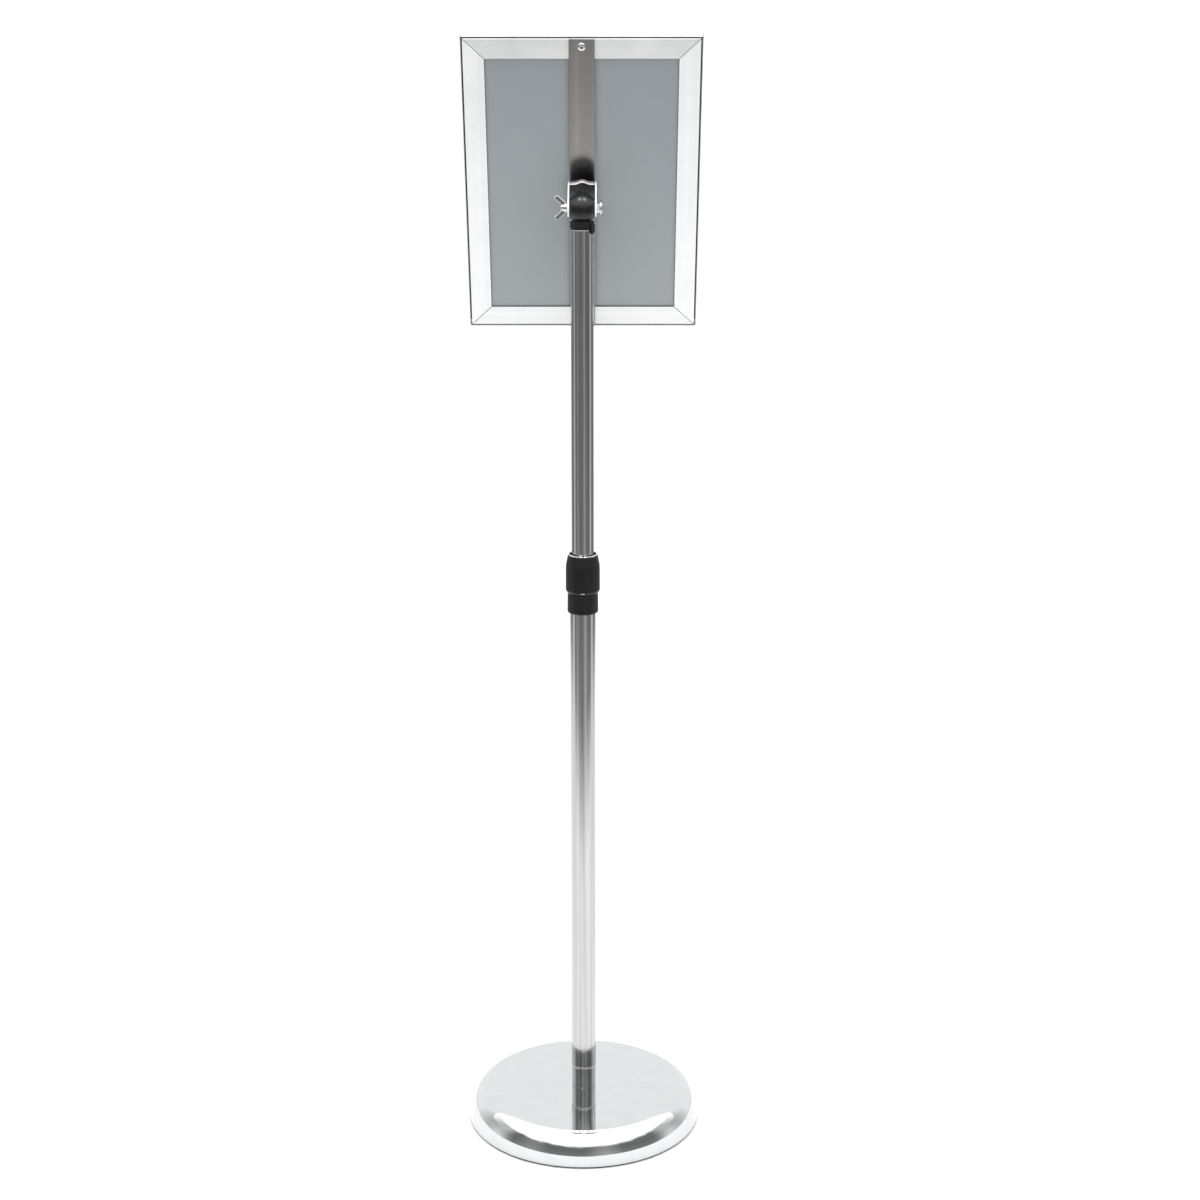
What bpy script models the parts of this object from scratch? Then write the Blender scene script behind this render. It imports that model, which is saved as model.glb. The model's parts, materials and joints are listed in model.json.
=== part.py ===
"""Floor sign stand: a weighted round base, a telescopic pole with a twist lock, a tilting head and a snap frame.

Metres, +Z up, the origin under the middle of the base. The sign faces -Y and leans back towards +Y.
"""

import math

import bmesh
import bpy
from mathutils import Matrix, Vector

GAP = 0.0003  # left between pieces that touch
WELD = 1e-6

# Base
BASE_RADIUS = 0.128
BASE_HEIGHT = 0.036
FLAT_RADIUS = 0.1085
RIM_LEVEL = 0.0050  # height of the widest ring
PAD_THICKNESS = 0.0015
PAD_RADIUS = 0.1255
SHEET = 0.0012  # spun cover
WEIGHT_RADIUS = 0.118
WEIGHT_EDGE_TOP = 0.0185
HUB_RADIUS = 0.030
BOLT_RADIUS = 0.005
COUNTERBORE_RADIUS = 0.016
COUNTERBORE_DEPTH = 0.0095
WASHER_THICKNESS = 0.0018
BOLT_HEAD_FLATS = 0.017
BOLT_HEAD_HEIGHT = 0.0060

# Pole
COLLAR_RADIUS = 0.0131
COLLAR_HEIGHT = 0.0250
LOWER_RADIUS = 0.0135
UPPER_RADIUS = 0.0116
TUBE_WALL = 0.0011
UPPER_LENGTH = 0.560
UPPER_TOP = 0.990
PLUG_LENGTH = 0.026
BUSH_LENGTH = 0.018
BUSH_FLANGE = 0.005

# Twist lock
LOCK_BOTTOM = 0.5867
LOCK_SPLIT = 0.6079
LOCK_TOP = 0.6506
LOCK_RING_HEIGHT = 0.0016
LOCK_RIM_WIDTH = 0.0016
LOCK_SHOULDER = 0.0030
LOCK_TAPER = 0.0119
LOCK_EDGE = 0.0004
LOCK_BODY_RADIUS = 0.0163
LOCK_SLEEVE_RADIUS = 0.0181
LOCK_MOUTH_RADIUS = 0.0157
LOCK_NECK_RADIUS = 0.0148
LOCK_NECK_HEIGHT = 0.0145
LOCK_SHELF = 0.0040  # the shelf that the lower tube's end meets, below the split
COLLET_WALL = 0.0016
COLLET_SLIT = 0.0018

# Head
PIVOT_HEIGHT = 1.0116
BALL_RADIUS = 0.0162
BALL_HALF_WIDTH = 0.0128
NECK_RADIUS = 0.0095
CAP_RADIUS = 0.01235
CAP_COLLAR = 0.0074
CAP_PLUG_LENGTH = 0.022
SPIGOT_RADIUS = 0.006
SPIGOT_LENGTH = 0.020
EAR_THICKNESS = 0.0016
EAR_RADIUS = 0.0098
WEB_THICKNESS = 0.0032
WEB_HALF_HEIGHT = 0.0098
WEB_TOP = 0.0075
WEB_CROWN = 0.0026
PIVOT_BOLT_RADIUS = 0.003
PIVOT_HEAD_RADIUS = 0.0078
PIVOT_HEAD_THICKNESS = 0.0034
PIVOT_NUT_FLATS = 0.0100
PIVOT_NUT_THICKNESS = 0.0028
WING_HUB_RADIUS = 0.0050
WING_HUB_LENGTH = 0.0062
WING_LENGTH = 0.0134
WING_WIDTH = 0.0046
WING_THICKNESS = 0.0026
WING_ANGLE = math.radians(45)

# Sign
TILT = math.radians(21.2)  # how far the sign leans back from upright
FRAME_WIDTH = 0.240
FRAME_HEIGHT = 0.327
FRAME_RISE = 0.0022  # the frame's middle above the pivot
BACK_FACE = -0.0396  # the rails' back faces, from the pivot
FLANGE_THICKNESS = 0.0014
FLANGE_OUTER = 0.0023
FLANGE_INNER = 0.0237
RAIL_WALL = 0.0013
RAIL_HEIGHT = 0.0090
STOP_WALL = 0.0134  # the wall that the sheets sit inside
STOP_HEIGHT = 0.0056
SNAP_WIDTH = 0.025
SNAP_WALL = 0.0012
SNAP_SHOULDER = 0.0095
SNAP_OUTER_ARC = 0.0034
SNAP_INNER_ARC = 0.0028
SNAP_CROWN = 0.0008
BEAD_RADIUS = 0.0004
BEAD_INSET = 0.00045
BEAD_DEPTH = 0.0010
MITRE_GAP = 0.00044
SHEET_INSET = 0.0150
PANEL_THICKNESS = 0.0015
POSTER_THICKNESS = 0.0004
GLAZING_THICKNESS = 0.0008
STRAP_WIDTH = 0.0255
STRAP_THICKNESS = 0.0015
STRAP_TOP = 0.1610  # from the frame's middle
STRAP_BOTTOM = -0.1628
RIVET_RADIUS = 0.0042
SMALL_RIVET_RADIUS = 0.0032
RIVET_SHANK = 0.0017
RIVET_HOLE = 0.0020
RIVET_BULB = 0.0026
RIVET_DOME = 0.0014
RIVET_INSET = 0.0076  # from the flange's outer edge
BRACKET_RIVET_PLACES = (("left", -0.0065, -0.0054), ("right", 0.0065, -0.0054))
KEY_ARM = 0.034
KEY_THICKNESS = 0.0020
SPRING_LENGTH = 0.018

TUBE_STEPS = 40
BASE_STEPS = 64
SMALL_STEPS = 28
RIVET_STEPS = 14
RIM_STEPS = 8
ARC_POINTS = 5

COLOURS = {
    "chrome": ((0.80, 0.81, 0.82), 0.06, 1.0),
    "polished_steel": ((0.55, 0.55, 0.55), 0.14, 1.0),
    "brushed_steel": ((0.38, 0.37, 0.35), 0.38, 1.0),
    "zinc": ((0.74, 0.74, 0.75), 0.26, 1.0),
    "aluminium": ((0.83, 0.84, 0.84), 0.36, 1.0),
    "cast_iron": ((0.10, 0.10, 0.10), 0.75, 0.6),
    "black_plastic": ((0.022, 0.022, 0.024), 0.42, 0.0),
    "grey_plastic": ((0.28, 0.30, 0.31), 0.55, 0.0),
    "white_plastic": ((0.75, 0.75, 0.73), 0.50, 0.0),
    "foam": ((0.03, 0.03, 0.03), 0.90, 0.0),
    "paper": ((0.86, 0.86, 0.84), 0.85, 0.0),
    "glazing": ((0.90, 0.92, 0.93), 0.08, 0.0),
}


def clear_scene():
    for obj in list(bpy.data.objects):
        bpy.data.objects.remove(obj, do_unlink=True)


def new_collection(name):
    collection = bpy.data.collections.new(name)
    bpy.context.scene.collection.children.link(collection)
    return collection


clear_scene()
PARTS = new_collection("sign_stand")
CUTTERS = new_collection("cutters")


def new_material(name, finish):
    colour, roughness, metallic = COLOURS[finish]
    material = bpy.data.materials.new(name)
    material.use_nodes = True
    shader = material.node_tree.nodes["Principled BSDF"]
    shader.inputs["Base Color"].default_value = (*colour, 1)
    shader.inputs["Roughness"].default_value = roughness
    shader.inputs["Metallic"].default_value = metallic
    return material


def evaluated_mesh(obj):
    """The mesh that an object evaluates to, welded, with the object removed."""
    PARTS.objects.link(obj)
    mesh = bpy.data.meshes.new_from_object(obj.evaluated_get(bpy.context.evaluated_depsgraph_get()))
    bpy.data.objects.remove(obj)
    solid = bmesh.new()
    solid.from_mesh(mesh)
    bmesh.ops.remove_doubles(solid, verts=solid.verts, dist=WELD)
    solid.to_mesh(mesh)
    solid.free()
    return mesh


def turned(profile, steps=TUBE_STEPS, ring=False):
    """A profile of (radius, height) points, top to bottom down its outer side, turned about Z."""
    points = [(radius, 0, height) for radius, height in profile]
    edges = [(i, i + 1) for i in range(len(points) - 1)]
    if ring:
        edges.append((len(points) - 1, 0))
    mesh = bpy.data.meshes.new("profile")
    mesh.from_pydata(points, edges, [])
    obj = bpy.data.objects.new("profile", mesh)
    screw = obj.modifiers.new("turn", "SCREW")
    screw.steps = steps
    screw.render_steps = steps
    screw.use_merge_vertices = True
    screw.merge_threshold = 1e-5
    return evaluated_mesh(obj)


def extruded(outlines, thickness):
    """Closed XY outlines, the first the outside and the others holes, as a plate centred on Z."""
    curve = bpy.data.curves.new("outline", "CURVE")
    curve.dimensions = "2D"
    curve.fill_mode = "BOTH"
    curve.extrude = thickness / 2
    for outline in outlines:
        spline = curve.splines.new("POLY")
        spline.points.add(len(outline) - 1)
        for point, (x, y) in zip(spline.points, outline):
            point.co = (x, y, 0, 1)
        spline.use_cyclic_u = True
    return evaluated_mesh(bpy.data.objects.new("outline", curve))


def primitive(build, **sizes):
    """A mesh from one of the bmesh.ops.create_ functions."""
    solid = bmesh.new()
    build(solid, **sizes)
    mesh = bpy.data.meshes.new("primitive")
    solid.to_mesh(mesh)
    solid.free()
    return mesh


def block(size):
    return primitive(bmesh.ops.create_cube, size=1, matrix=Matrix.Diagonal((*size, 1)))


def rod(radius, length, steps=SMALL_STEPS):
    return primitive(
        bmesh.ops.create_cone, cap_ends=True, segments=steps, radius1=radius, radius2=radius, depth=length
    )


def arc(centre, radius, start, end, points=ARC_POINTS):
    """Points on an arc in degrees, both ends included."""
    turns = [math.radians(start + (end - start) * i / (points - 1)) for i in range(points)]
    return [(centre[0] + radius * math.cos(t), centre[1] + radius * math.sin(t)) for t in turns]


def circle(centre, radius, points=16):
    return arc(centre, radius, 0, 360, points + 1)[:-1]


def rectangle(left, bottom, right, top):
    return [(left, bottom), (right, bottom), (right, top), (left, top)]


def part(name, mesh, finish, place=Matrix(), parent=None):
    """A named piece with its own material, shaded smooth up to 30 degrees."""
    mesh.name = name
    mesh.materials.clear()
    mesh.materials.append(new_material(name, finish))
    mesh.shade_smooth()
    mesh.set_sharp_from_angle(angle=math.radians(30))
    obj = bpy.data.objects.new(name, mesh)
    obj.parent = parent
    obj.matrix_local = place
    PARTS.objects.link(obj)
    return obj


def shape(obj, mesh, operation, place=Matrix()):
    """Cuts, joins or intersects a piece with a mesh placed in the piece's parent's space."""
    tool = bpy.data.objects.new(f"{obj.name}_tool_{len(obj.modifiers)}", mesh)
    tool.parent = obj.parent
    tool.matrix_local = place
    tool.hide_render = True
    tool.display_type = "WIRE"
    CUTTERS.objects.link(tool)
    boolean = obj.modifiers.new(operation.lower(), "BOOLEAN")
    boolean.operation = operation
    boolean.solver = "EXACT"
    boolean.object = tool


def empty(name, location, parent=None, rotation=(0, 0, 0)):
    obj = bpy.data.objects.new(name, None)
    obj.location = location
    obj.rotation_euler = rotation
    obj.parent = parent
    PARTS.objects.link(obj)
    return obj


def at(x=0, y=0, z=0):
    return Matrix.Translation((x, y, z))


ALONG_X = Matrix.Rotation(math.pi / 2, 4, "Y")  # turns +Z onto +X
SIDE_VIEW = Matrix(((0, 0, 1, 0), (1, 0, 0, 0), (0, 1, 0, 0), (0, 0, 0, 1)))  # outline XY onto YZ
FRONT_VIEW = Matrix.Rotation(math.pi / 2, 4, "X")  # outline XY onto XZ


def rim_point(inset, angle):
    """A point of the base's rolled edge, an ellipse from the flat top down to the widest ring."""
    turn = math.radians(angle)
    radius = FLAT_RADIUS + (BASE_RADIUS - FLAT_RADIUS - inset) * math.sin(turn)
    height = RIM_LEVEL + (BASE_HEIGHT - RIM_LEVEL - inset) * math.cos(turn)
    return radius, height


def build_base():
    foot = PAD_THICKNESS + GAP
    tuck = 0.0012
    hole = BOLT_RADIUS + GAP
    angles = [90 * i / RIM_STEPS for i in range(RIM_STEPS + 1)]
    outside = [rim_point(0, angle) for angle in angles]
    inside = [rim_point(SHEET, angle) for angle in reversed(angles)]
    lip = [(BASE_RADIUS - tuck, foot), (BASE_RADIUS - tuck - SHEET, foot)]
    cover = [(hole, BASE_HEIGHT), *outside, *lip, *inside, (hole, BASE_HEIGHT - SHEET)]
    part("base_cover", turned(cover, BASE_STEPS, ring=True), "chrome")

    bottom = PAD_THICKNESS + GAP
    seat = bottom + COUNTERBORE_DEPTH
    top = BASE_HEIGHT - SHEET - GAP
    weight = [
        (hole, top),
        (HUB_RADIUS, top),
        (HUB_RADIUS + 0.010, WEIGHT_EDGE_TOP),
        (WEIGHT_RADIUS - 0.003, WEIGHT_EDGE_TOP),
        (WEIGHT_RADIUS, WEIGHT_EDGE_TOP - 0.003),
        (WEIGHT_RADIUS, bottom),
        (COUNTERBORE_RADIUS, bottom),
        (COUNTERBORE_RADIUS, seat),
        (hole, seat),
    ]
    part("base_weight", turned(weight, ring=True), "cast_iron")

    pad = [(0, PAD_THICKNESS), (PAD_RADIUS, PAD_THICKNESS), (PAD_RADIUS, 0), (0, 0)]
    part("base_pad", turned(pad, BASE_STEPS), "foam")

    washer_top = seat - GAP
    washer_bottom = washer_top - WASHER_THICKNESS
    washer = [(hole, washer_top), (0.0115, washer_top), (0.0115, washer_bottom), (hole, washer_bottom)]
    part("base_washer", turned(washer, ring=True), "zinc")

    head_top = washer_bottom - GAP
    head_radius = BOLT_HEAD_FLATS / math.sqrt(3)
    bolt_top = BASE_HEIGHT + COLLAR_HEIGHT + PLUG_LENGTH - 0.006
    bolt = part(
        "base_bolt", rod(head_radius, BOLT_HEAD_HEIGHT, 6), "zinc", at(z=head_top - BOLT_HEAD_HEIGHT / 2)
    )
    shank_length = bolt_top - head_top + 0.001
    shape(bolt, rod(BOLT_RADIUS, shank_length), "UNION", at(z=bolt_top - shank_length / 2))


def build_foot():
    hole = BOLT_RADIUS + GAP
    low = BASE_HEIGHT + GAP
    high = low + COLLAR_HEIGHT
    bevel = 0.0006
    collar = [
        (hole, high),
        (COLLAR_RADIUS - bevel, high),
        (COLLAR_RADIUS, high - bevel),
        (COLLAR_RADIUS, low + bevel),
        (COLLAR_RADIUS - bevel, low),
        (hole, low),
    ]
    part("foot_collar", turned(collar, ring=True), "polished_steel")

    plug_low = high + GAP
    plug_radius = LOWER_RADIUS - TUBE_WALL - GAP
    plug_high = plug_low + PLUG_LENGTH
    plug = [
        (0, plug_high),
        (plug_radius - 0.001, plug_high),
        (plug_radius, plug_high - 0.001),
        (plug_radius, plug_low),
        (hole, plug_low),
        (hole, plug_high - 0.005),
        (0, plug_high - 0.005),
    ]
    part("foot_plug", turned(plug), "zinc")
    return plug_low


def tube(name, radius, low, high, finish):
    bevel = 0.0004
    inner = radius - TUBE_WALL
    profile = [
        (inner, high),
        (radius - bevel, high),
        (radius, high - bevel),
        (radius, low + bevel),
        (radius - bevel, low),
        (inner, low),
    ]
    part(name, turned(profile, ring=True), finish)


def build_pole(lower_bottom):
    tube("lower_tube", LOWER_RADIUS, lower_bottom, LOCK_SPLIT - LOCK_SHELF - GAP, "polished_steel")
    upper_bottom = UPPER_TOP - UPPER_LENGTH
    tube("upper_tube", UPPER_RADIUS, upper_bottom, UPPER_TOP, "polished_steel")
    flange = LOWER_RADIUS - TUBE_WALL - GAP
    plug = UPPER_RADIUS - TUBE_WALL - GAP
    bore = 0.006
    top = upper_bottom + BUSH_LENGTH
    bush = [
        (bore, top),
        (plug - 0.001, top),
        (plug, top - 0.001),
        (plug, upper_bottom - GAP),
        (flange, upper_bottom - GAP),
        (flange, upper_bottom - BUSH_FLANGE),
        (bore, upper_bottom - BUSH_FLANGE),
    ]
    part("guide_bush", turned(bush, ring=True), "white_plastic")


def build_lock():
    tube_seat = LOWER_RADIUS + GAP
    running = UPPER_RADIUS + 0.0004
    shelf = LOCK_SPLIT - LOCK_SHELF
    neck_top = LOCK_SPLIT + LOCK_NECK_HEIGHT
    bevel = 0.0014
    body = [
        (running, neck_top),
        (LOCK_NECK_RADIUS, neck_top),
        (LOCK_NECK_RADIUS, LOCK_SPLIT),
        (LOCK_BODY_RADIUS - 0.0005, LOCK_SPLIT),
        (LOCK_BODY_RADIUS, LOCK_SPLIT - 0.0005),
        (LOCK_BODY_RADIUS, LOCK_BOTTOM + bevel),
        (LOCK_BODY_RADIUS - bevel, LOCK_BOTTOM),
        (tube_seat, LOCK_BOTTOM),
        (tube_seat, shelf),
        (running, shelf),
    ]
    part("lock_body", turned(body, ring=True), "black_plastic")

    bottom = LOCK_SPLIT + 2 * GAP
    top = LOCK_TOP - LOCK_RING_HEIGHT
    neck_room = LOCK_NECK_RADIUS + GAP
    collet_low = neck_top + GAP
    collet_high = top - 0.0045
    collet_inner = UPPER_RADIUS + 0.00035
    collet_outer = collet_inner + COLLET_WALL
    sleeve = [
        (running, top),
        (LOCK_MOUTH_RADIUS, top),
        (LOCK_SLEEVE_RADIUS, top - LOCK_TAPER),
        (LOCK_SLEEVE_RADIUS, bottom + LOCK_SHOULDER),
        (LOCK_BODY_RADIUS - 0.0002, bottom),
        (neck_room, bottom),
        (neck_room, collet_low),
        (collet_outer + GAP, collet_low),
        (collet_outer + GAP, collet_high + GAP),
        (running, collet_high + 0.0015),
    ]
    part("lock_sleeve", turned(sleeve, ring=True), "black_plastic")

    ring_low = top + GAP
    rim_inner = LOCK_MOUTH_RADIUS - LOCK_RIM_WIDTH
    ring = [
        (rim_inner, LOCK_TOP - LOCK_EDGE),
        (rim_inner + LOCK_EDGE, LOCK_TOP),
        (LOCK_MOUTH_RADIUS - LOCK_EDGE, LOCK_TOP),
        (LOCK_MOUTH_RADIUS, LOCK_TOP - LOCK_EDGE),
        (LOCK_MOUTH_RADIUS, ring_low),
        (rim_inner, ring_low),
    ]
    part("lock_ring", turned(ring, ring=True), "chrome")

    collet = [
        (collet_inner, collet_high),
        (collet_outer, collet_high),
        (collet_outer, collet_low + GAP),
        (collet_inner, collet_low + GAP),
    ]
    height = collet_high - collet_low
    obj = part("lock_collet", turned(collet, ring=True), "white_plastic")
    slit = block((2 * COLLET_WALL + LOCK_NECK_RADIUS, COLLET_SLIT, 2 * height))
    shape(obj, slit, "DIFFERENCE", at(collet_outer, 0, (collet_low + collet_high) / 2))


def build_pole_cap():
    seat = UPPER_TOP + GAP
    top = seat + CAP_COLLAR
    plug = UPPER_RADIUS - TUBE_WALL - GAP
    bore = SPIGOT_RADIUS + GAP
    bevel = 0.0005
    profile = [
        (bore, top),
        (CAP_RADIUS - bevel, top),
        (CAP_RADIUS, top - bevel),
        (CAP_RADIUS, seat + bevel),
        (CAP_RADIUS - bevel, seat),
        (plug, seat),
        (plug, seat - CAP_PLUG_LENGTH + 0.001),
        (plug - 0.001, seat - CAP_PLUG_LENGTH),
        (bore, seat - CAP_PLUG_LENGTH),
    ]
    cap = part("pole_cap", turned(profile, ring=True), "black_plastic")
    # A small tongue hangs from the collar outside the tube.
    tongue = [(-0.0030, 0.0055), (0.0030, 0.0055), (0.0030, -0.0016), (-0.0004, -0.0052), (-0.0030, -0.0034)]
    bearing = Matrix.Rotation(math.radians(147), 4, "Z")
    outward = bearing @ at(UPPER_RADIUS + GAP + 0.0009, 0, seat) @ SIDE_VIEW
    shape(cap, extruded([tongue], 0.0016), "UNION", outward)
    return top


def build_knuckle(cap_top):
    neck_low = cap_top + GAP - PIVOT_HEIGHT
    shoulder = -0.0123
    ball = arc((0, 0), BALL_RADIUS, 90, -48, 13)
    profile = [
        *ball,
        (NECK_RADIUS, shoulder),
        (NECK_RADIUS, neck_low),
        (SPIGOT_RADIUS, neck_low),
        (SPIGOT_RADIUS, neck_low - SPIGOT_LENGTH),
        (0, neck_low - SPIGOT_LENGTH),
    ]
    pivot = empty("knuckle_pivot", (0, 0, PIVOT_HEIGHT))
    knuckle = part("knuckle", turned(profile, SMALL_STEPS), "black_plastic", parent=pivot)
    depth = 4 * BALL_RADIUS
    shape(knuckle, block((2 * BALL_HALF_WIDTH, depth, 2 * depth)), "INTERSECT")
    bore = rod(PIVOT_BOLT_RADIUS + GAP, depth)
    shape(knuckle, bore, "DIFFERENCE", ALONG_X)


def build_bracket(sign):
    strap_face = BACK_FACE + GAP + STRAP_THICKNESS
    web_front = strap_face + GAP
    web_back = web_front + WEB_THICKNESS
    inner = BALL_HALF_WIDTH + GAP
    outer = inner + EAR_THICKNESS
    bend = 0.0026
    reach = EAR_RADIUS + 0.001
    channel = [
        (-inner, reach),
        (-outer, reach),
        *arc((-outer + bend, web_front + bend), bend, 180, 270, 4),
        *arc((outer - bend, web_front + bend), bend, 270, 360, 4),
        (outer, reach),
        (inner, reach),
        (inner, web_back),
        (-inner, web_back),
    ]
    bracket = part("tilt_bracket", extruded([channel], 0.04), "zinc", parent=sign)

    side = [
        (web_front - 0.001, -WEB_HALF_HEIGHT),
        *arc((0, 0), EAR_RADIUS, -90, 90, 11),
        (web_back, WEB_TOP),
        (web_back, WEB_TOP + WEB_CROWN),
        (web_front - 0.001, WEB_TOP + WEB_CROWN),
    ]
    hole = circle((0, 0), PIVOT_BOLT_RADIUS + GAP)
    shape(bracket, extruded([side, hole], 4 * outer), "INTERSECT", SIDE_VIEW)

    # The web's upper edge swells into a low crown between its corners.
    wide = 2 * outer
    crown = [(x * 0.001, WEB_TOP + WEB_CROWN * (1 + math.cos(math.pi * x / 8)) / 2) for x in range(8, -9, -2)]
    right = [(wide, -wide), (wide, EAR_RADIUS), (inner, EAR_RADIUS), (inner, WEB_TOP)]
    left = [(-inner, WEB_TOP), (-inner, EAR_RADIUS), (-wide, EAR_RADIUS), (-wide, -wide)]
    front = [*right, *crown, *left]
    holes = [circle((x, z), RIVET_HOLE, RIVET_STEPS) for _, x, z in BRACKET_RIVET_PLACES]
    shape(bracket, extruded([front, *holes], 0.2), "INTERSECT", FRONT_VIEW)
    for side, x, z in BRACKET_RIVET_PLACES:
        build_rivet(f"bracket_rivet_{side}", sign, (x, z), SMALL_RIVET_RADIUS, web_back, BACK_FACE + GAP)


def build_rivet(name, sign, centre, radius, head_face, far_face):
    """A blind rivet: a domed head with the broken mandrel's hole, its shank and the bulb behind."""
    seat = GAP
    dome = [(radius * math.cos(t), seat + 0.0003 + RIVET_DOME * math.sin(t)) for t in (1.1, 0.75, 0.4, 0)]
    grip = head_face - far_face
    bulb_high = -grip - GAP
    profile = [
        (0, seat + 0.0006),
        (0.0011, seat + 0.0006),
        (0.0012, seat + RIVET_DOME + 0.0002),
        *dome,
        (radius, seat),
        (RIVET_SHANK, seat),
        (RIVET_SHANK, bulb_high),
        (RIVET_BULB, bulb_high),
        (RIVET_BULB - 0.0006, bulb_high - 0.0009),
        (0, bulb_high - 0.0009),
    ]
    along_back = Matrix.Rotation(-math.pi / 2, 4, "X")  # turns +Z onto +Y
    place = at(centre[0], head_face, centre[1]) @ along_back
    part(name, turned(profile, RIVET_STEPS), "zinc", place, sign)


def build_pivot_hardware(sign):
    outer = BALL_HALF_WIDTH + GAP + EAR_THICKNESS
    nut_near = outer + GAP
    nut_far = nut_near + PIVOT_NUT_THICKNESS
    radius = PIVOT_NUT_FLATS / math.sqrt(3)
    middle = (nut_near + nut_far) / 2
    nut = part("pivot_nut", rod(radius, PIVOT_NUT_THICKNESS, 6), "zinc", at(-middle) @ ALONG_X, sign)
    bore = rod(PIVOT_BOLT_RADIUS + GAP, 2 * WING_HUB_LENGTH)
    shape(nut, bore, "DIFFERENCE", at(-middle) @ ALONG_X)

    head_near = nut_far + GAP
    head_far = head_near + PIVOT_HEAD_THICKNESS
    shank_end = -(outer + WING_HUB_LENGTH + 0.0012)
    bolt = [
        (0, head_far),
        (0.45 * PIVOT_HEAD_RADIUS, head_far - 0.0002),
        (0.80 * PIVOT_HEAD_RADIUS, head_far - 0.0010),
        (PIVOT_HEAD_RADIUS, head_near + 0.0010),
        (PIVOT_HEAD_RADIUS, head_near),
        (PIVOT_BOLT_RADIUS, head_near),
        (PIVOT_BOLT_RADIUS, shank_end + 0.0006),
        (PIVOT_BOLT_RADIUS - 0.0006, shank_end),
        (0, shank_end),
    ]
    part("pivot_bolt", turned(bolt, SMALL_STEPS), "zinc", Matrix.Rotation(-math.pi / 2, 4, "Y"), sign)

    hub_near = outer + GAP
    hub_far = hub_near + WING_HUB_LENGTH
    hub = [
        (0, hub_far),
        (WING_HUB_RADIUS - 0.0012, hub_far),
        (WING_HUB_RADIUS, hub_near + 0.0012),
        (WING_HUB_RADIUS, hub_near),
        (0, hub_near),
    ]
    wing_nut = part("wing_nut", turned(hub, SMALL_STEPS), "zinc", ALONG_X, sign)
    half = WING_WIDTH / 2
    tip = WING_LENGTH - half
    bar = [(0.001, -0.8 * half), *arc((tip, 0), half, -90, 90, 7), (0.001, 0.8 * half)]
    root = at(hub_near + WING_HUB_LENGTH / 2, 0, 0)
    for side in (1, -1):
        lean = Matrix.Rotation(-side * (math.pi / 2 - WING_ANGLE / 1.1), 4, "Y")
        place = root @ at(0, 0, side * 0.0022) @ lean @ FRONT_VIEW
        shape(wing_nut, extruded([bar], WING_THICKNESS), "UNION", place)
    shape(wing_nut, bore.copy(), "DIFFERENCE", at(hub_near + WING_HUB_LENGTH / 2) @ ALONG_X)


def mitred(outline, length, inset):
    """A section of (inset, depth) points run along a rail whose two ends are cut at 45 degrees."""
    mesh = extruded([outline], length)
    for vertex in mesh.vertices:
        side = math.copysign(1, vertex.co.z)
        vertex.co.z = side * (length / 2 - vertex.co.x - inset - MITRE_GAP)
    return mesh


def base_rail_section():
    stop_inner = STOP_WALL + RAIL_WALL - 0.0001
    wall = FLANGE_OUTER + RAIL_WALL
    return [
        (FLANGE_OUTER, 0.0004),
        (FLANGE_OUTER + 0.0004, 0),
        (FLANGE_INNER - 0.0003, 0),
        (FLANGE_INNER, 0.0003),
        (FLANGE_INNER, FLANGE_THICKNESS),
        (stop_inner, FLANGE_THICKNESS),
        (stop_inner, STOP_HEIGHT),
        (STOP_WALL, STOP_HEIGHT),
        (STOP_WALL, FLANGE_THICKNESS),
        (wall, FLANGE_THICKNESS),
        (wall, RAIL_HEIGHT),
        (FLANGE_OUTER, RAIL_HEIGHT),
    ]


def snap_section():
    """The snap rail's section, from its hinge bead over its crowned front to its inner lip."""
    front = SNAP_SHOULDER + SNAP_OUTER_ARC
    lip_end = FLANGE_THICKNESS + PANEL_THICKNESS + POSTER_THICKNESS + GLAZING_THICKNESS + 4 * GAP
    run = SNAP_WIDTH - SNAP_OUTER_ARC - SNAP_INNER_ARC
    inner_shoulder = front - SNAP_INNER_ARC

    def crown(level, steps):
        return [
            (SNAP_OUTER_ARC + run * i / steps, level + SNAP_CROWN * math.sin(math.pi * i / steps))
            for i in range(1, steps)
        ]

    outer = [
        *arc((BEAD_INSET, BEAD_DEPTH), BEAD_RADIUS, 0, -180, 6),
        (0, 0.0030),
        *arc((SNAP_OUTER_ARC, SNAP_SHOULDER), SNAP_OUTER_ARC, 180, 90),
        *crown(front, 5),
        *arc((SNAP_WIDTH - SNAP_INNER_ARC, inner_shoulder), SNAP_INNER_ARC, 90, 0),
        (SNAP_WIDTH, lip_end),
    ]
    inner_radius = SNAP_INNER_ARC - SNAP_WALL
    outer_radius = SNAP_OUTER_ARC - SNAP_WALL
    inner = [
        (SNAP_WIDTH - SNAP_WALL, lip_end),
        *arc((SNAP_WIDTH - SNAP_INNER_ARC, inner_shoulder), inner_radius, 0, 90, 4),
        *reversed(crown(front - SNAP_WALL, 5)),
        *arc((SNAP_OUTER_ARC, SNAP_SHOULDER), outer_radius, 90, 180, 4),
        (SNAP_WALL, 0.0030),
    ]
    return [(x - BEAD_INSET, y - BEAD_DEPTH) for x, y in outer + inner]


def spring_section():
    """A bent leaf spring: a foot on the flange and a limb that reaches up under the snap rail."""
    floor = FLANGE_THICKNESS + GAP
    leaf = 0.0006
    left = FLANGE_OUTER + RAIL_WALL + 0.0010
    right = STOP_WALL - 0.0008
    top = SNAP_SHOULDER + 0.0008
    return [
        (left, floor),
        (right - leaf, floor),
        (right, floor + leaf),
        (left + 0.0016, top),
        (left + 0.0004, top),
        (right - 2 * leaf, floor + leaf),
        (left, floor + leaf),
    ]


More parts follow.
